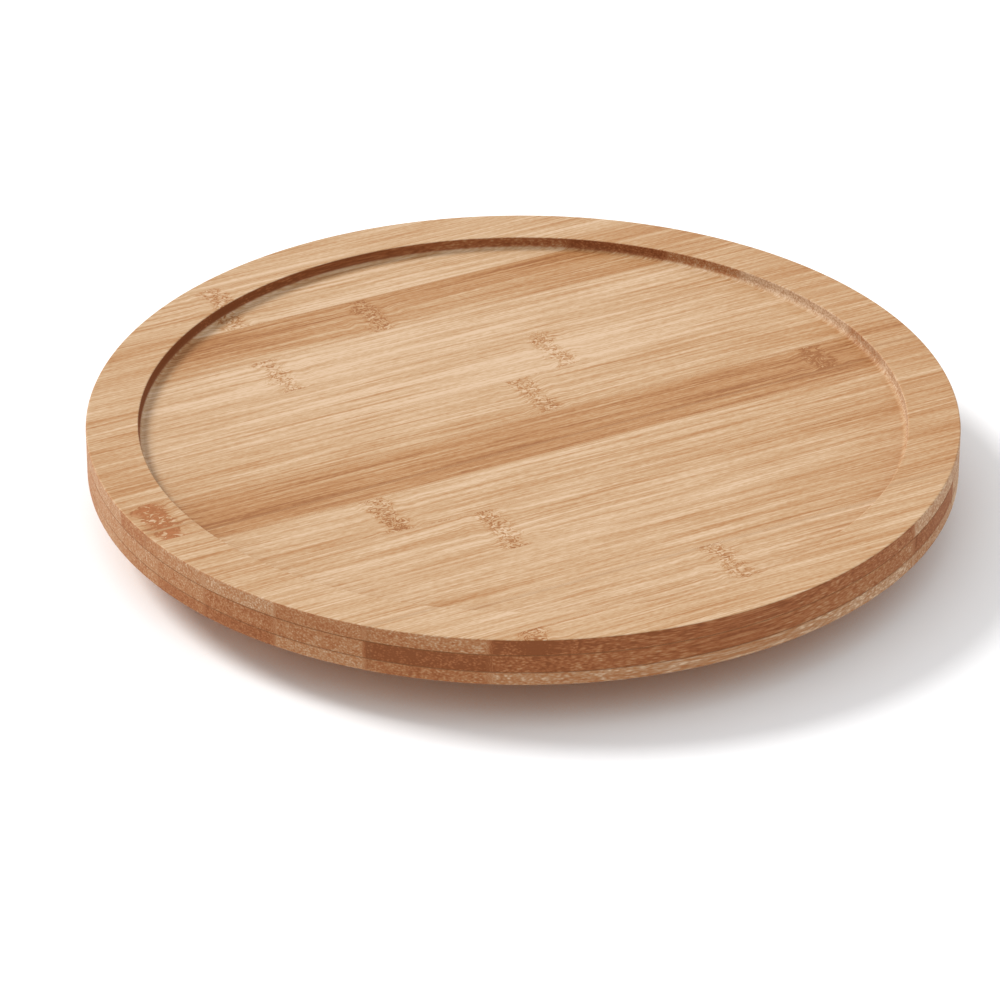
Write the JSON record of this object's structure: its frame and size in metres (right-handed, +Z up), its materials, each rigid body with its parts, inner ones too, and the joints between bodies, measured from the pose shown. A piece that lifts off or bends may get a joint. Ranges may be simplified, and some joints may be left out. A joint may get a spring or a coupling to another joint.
{
  "type": "lazy susan turntable",
  "caption": "Round bamboo turntable with a raised rim and shallow recess, on a flat ball bearing over a round base disc with rubber feet.",
  "frame": {"origin": "on the table, under the middle of the board, at the lowest point of the rubber feet", "axes": "+Z up along the axis that the board turns about; +X towards the base disc's screwdriver hole"},
  "size_m": [0.35, 0.35, 0.0391],
  "materials": {
    "bamboo_top": "satin oiled light bamboo",
    "bamboo_core": "satin oiled caramel bamboo",
    "bamboo_bottom": "satin oiled bamboo",
    "bamboo_base": "satin bamboo",
    "zinc_plate": "bright zinc plating",
    "retainer_nylon": "moulded nylon",
    "ball_steel": "polished steel",
    "screw_steel": "zinc plated",
    "foot_rubber": "matte black rubber"
  },
  "bodies": {
    "base": {"base_disc": "bamboo_base", "lower_bearing_plate": "zinc_plate", "lower_plate_screw_1": "screw_steel", "lower_plate_screw_2": "screw_steel", "lower_plate_screw_3": "screw_steel", "lower_plate_screw_4": "screw_steel", "rubber_foot_1": "foot_rubber", "rubber_foot_2": "foot_rubber", "rubber_foot_3": "foot_rubber", "rubber_foot_4": "foot_rubber"},
    "turntable": {"board_top_ply": "bamboo_top", "board_core_ply": "bamboo_core", "board_bottom_ply": "bamboo_bottom", "upper_bearing_plate": "zinc_plate", "upper_plate_screw_1": "screw_steel", "upper_plate_screw_2": "screw_steel", "upper_plate_screw_3": "screw_steel", "upper_plate_screw_4": "screw_steel"},
    "ball_ring": {"ball_retainer": "retainer_nylon"},
    "ball_01": {"bearing_ball_01": "ball_steel"},
    "ball_02": {"bearing_ball_02": "ball_steel"},
    "ball_03": {"bearing_ball_03": "ball_steel"},
    "ball_04": {"bearing_ball_04": "ball_steel"},
    "ball_05": {"bearing_ball_05": "ball_steel"},
    "ball_06": {"bearing_ball_06": "ball_steel"},
    "ball_07": {"bearing_ball_07": "ball_steel"},
    "ball_08": {"bearing_ball_08": "ball_steel"},
    "ball_09": {"bearing_ball_09": "ball_steel"},
    "ball_10": {"bearing_ball_10": "ball_steel"},
    "ball_11": {"bearing_ball_11": "ball_steel"},
    "ball_12": {"bearing_ball_12": "ball_steel"},
    "ball_13": {"bearing_ball_13": "ball_steel"},
    "ball_14": {"bearing_ball_14": "ball_steel"},
    "ball_15": {"bearing_ball_15": "ball_steel"},
    "ball_16": {"bearing_ball_16": "ball_steel"}
  },
  "joints": [
    {"name": "turntable_spin", "type": "hinge", "parent": "base", "child": "turntable", "pos_m": [0, 0, 0.0152], "axis": [0, 0, 1], "continuous": true},
    {"name": "ball_ring_orbit", "type": "hinge", "parent": "base", "child": "ball_ring", "pos_m": [0, 0, 0.0152], "axis": [0, 0, 1], "continuous": true},
    {"name": "ball_01_roll", "type": "hinge", "parent": "ball_ring", "child": "ball_01", "pos_m": [0.05296, 0.01053, 0.0152], "axis": [0.9808, 0.1951, 0], "continuous": true},
    {"name": "ball_02_roll", "type": "hinge", "parent": "ball_ring", "child": "ball_02", "pos_m": [0.0449, 0.03, 0.0152], "axis": [0.8315, 0.5556, 0], "continuous": true},
    {"name": "ball_03_roll", "type": "hinge", "parent": "ball_ring", "child": "ball_03", "pos_m": [0.03, 0.0449, 0.0152], "axis": [0.5556, 0.8315, 0], "continuous": true},
    {"name": "ball_04_roll", "type": "hinge", "parent": "ball_ring", "child": "ball_04", "pos_m": [0.01053, 0.05296, 0.0152], "axis": [0.1951, 0.9808, 0], "continuous": true},
    {"name": "ball_05_roll", "type": "hinge", "parent": "ball_ring", "child": "ball_05", "pos_m": [-0.01053, 0.05296, 0.0152], "axis": [-0.1951, 0.9808, 0], "continuous": true},
    {"name": "ball_06_roll", "type": "hinge", "parent": "ball_ring", "child": "ball_06", "pos_m": [-0.03, 0.0449, 0.0152], "axis": [-0.5556, 0.8315, 0], "continuous": true},
    {"name": "ball_07_roll", "type": "hinge", "parent": "ball_ring", "child": "ball_07", "pos_m": [-0.0449, 0.03, 0.0152], "axis": [-0.8315, 0.5556, 0], "continuous": true},
    {"name": "ball_08_roll", "type": "hinge", "parent": "ball_ring", "child": "ball_08", "pos_m": [-0.05296, 0.01053, 0.0152], "axis": [-0.9808, 0.1951, 0], "continuous": true},
    {"name": "ball_09_roll", "type": "hinge", "parent": "ball_ring", "child": "ball_09", "pos_m": [-0.05296, -0.01053, 0.0152], "axis": [-0.9808, -0.1951, 0], "continuous": true},
    {"name": "ball_10_roll", "type": "hinge", "parent": "ball_ring", "child": "ball_10", "pos_m": [-0.0449, -0.03, 0.0152], "axis": [-0.8315, -0.5556, 0], "continuous": true},
    {"name": "ball_11_roll", "type": "hinge", "parent": "ball_ring", "child": "ball_11", "pos_m": [-0.03, -0.0449, 0.0152], "axis": [-0.5556, -0.8315, 0], "continuous": true},
    {"name": "ball_12_roll", "type": "hinge", "parent": "ball_ring", "child": "ball_12", "pos_m": [-0.01053, -0.05296, 0.0152], "axis": [-0.1951, -0.9808, 0], "continuous": true},
    {"name": "ball_13_roll", "type": "hinge", "parent": "ball_ring", "child": "ball_13", "pos_m": [0.01053, -0.05296, 0.0152], "axis": [0.1951, -0.9808, 0], "continuous": true},
    {"name": "ball_14_roll", "type": "hinge", "parent": "ball_ring", "child": "ball_14", "pos_m": [0.03, -0.0449, 0.0152], "axis": [0.5556, -0.8315, 0], "continuous": true},
    {"name": "ball_15_roll", "type": "hinge", "parent": "ball_ring", "child": "ball_15", "pos_m": [0.0449, -0.03, 0.0152], "axis": [0.8315, -0.5556, 0], "continuous": true},
    {"name": "ball_16_roll", "type": "hinge", "parent": "ball_ring", "child": "ball_16", "pos_m": [0.05296, -0.01053, 0.0152], "axis": [0.9808, -0.1951, 0], "continuous": true}
  ],
  "couplings": [
    {"joint": "ball_ring_orbit", "follows": "turntable_spin", "ratio": 0.5},
    {"joint": "ball_01_roll", "follows": "turntable_spin", "ratio": -11.25},
    {"joint": "ball_02_roll", "follows": "turntable_spin", "ratio": -11.25},
    {"joint": "ball_03_roll", "follows": "turntable_spin", "ratio": -11.25},
    {"joint": "ball_04_roll", "follows": "turntable_spin", "ratio": -11.25},
    {"joint": "ball_05_roll", "follows": "turntable_spin", "ratio": -11.25},
    {"joint": "ball_06_roll", "follows": "turntable_spin", "ratio": -11.25},
    {"joint": "ball_07_roll", "follows": "turntable_spin", "ratio": -11.25},
    {"joint": "ball_08_roll", "follows": "turntable_spin", "ratio": -11.25},
    {"joint": "ball_09_roll", "follows": "turntable_spin", "ratio": -11.25},
    {"joint": "ball_10_roll", "follows": "turntable_spin", "ratio": -11.25},
    {"joint": "ball_11_roll", "follows": "turntable_spin", "ratio": -11.25},
    {"joint": "ball_12_roll", "follows": "turntable_spin", "ratio": -11.25},
    {"joint": "ball_13_roll", "follows": "turntable_spin", "ratio": -11.25},
    {"joint": "ball_14_roll", "follows": "turntable_spin", "ratio": -11.25},
    {"joint": "ball_15_roll", "follows": "turntable_spin", "ratio": -11.25},
    {"joint": "ball_16_roll", "follows": "turntable_spin", "ratio": -11.25}
  ]
}
